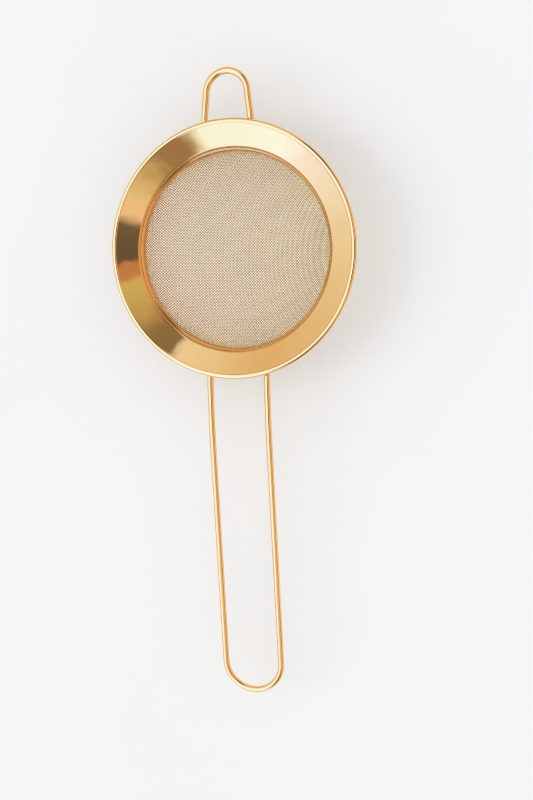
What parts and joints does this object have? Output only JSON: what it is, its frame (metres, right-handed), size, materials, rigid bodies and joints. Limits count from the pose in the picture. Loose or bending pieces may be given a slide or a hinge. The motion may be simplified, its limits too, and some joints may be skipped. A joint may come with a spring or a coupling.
{
  "type": "fine-mesh bar strainer",
  "caption": "Round fine-mesh cocktail and tea strainer: wide polished rim, woven wire bowl, long U-shaped wire handle and a short wire rest loop opposite it.",
  "frame": {"origin": "lowest point of the mesh bowl, on the bowl's axis", "axes": "+Z out of the bowl's mouth, square to the rim; -Y along the handle; +Y along the rest loop; +X to the right with the mouth up and the handle towards the viewer"},
  "size_m": [0.085, 0.2117, 0.0192],
  "materials": {
    "band": "mirror-polished gold plating on stainless sheet",
    "ring": "polished gold plating on stainless sheet",
    "cloth": "woven stainless wire, thinly gold plated, satin",
    "wire": "bright gold-plated drawn wire",
    "weld": "dull gold-plated weld"
  },
  "bodies": {
    "root": {"rim_band": "band", "retaining_ring": "ring", "mesh_bowl": "cloth", "handle_wire": "wire", "rest_loop_wire": "wire", "weld_handle_left": "weld", "weld_handle_right": "weld", "weld_loop_left": "weld", "weld_loop_right": "weld"}
  },
  "joints": []
}
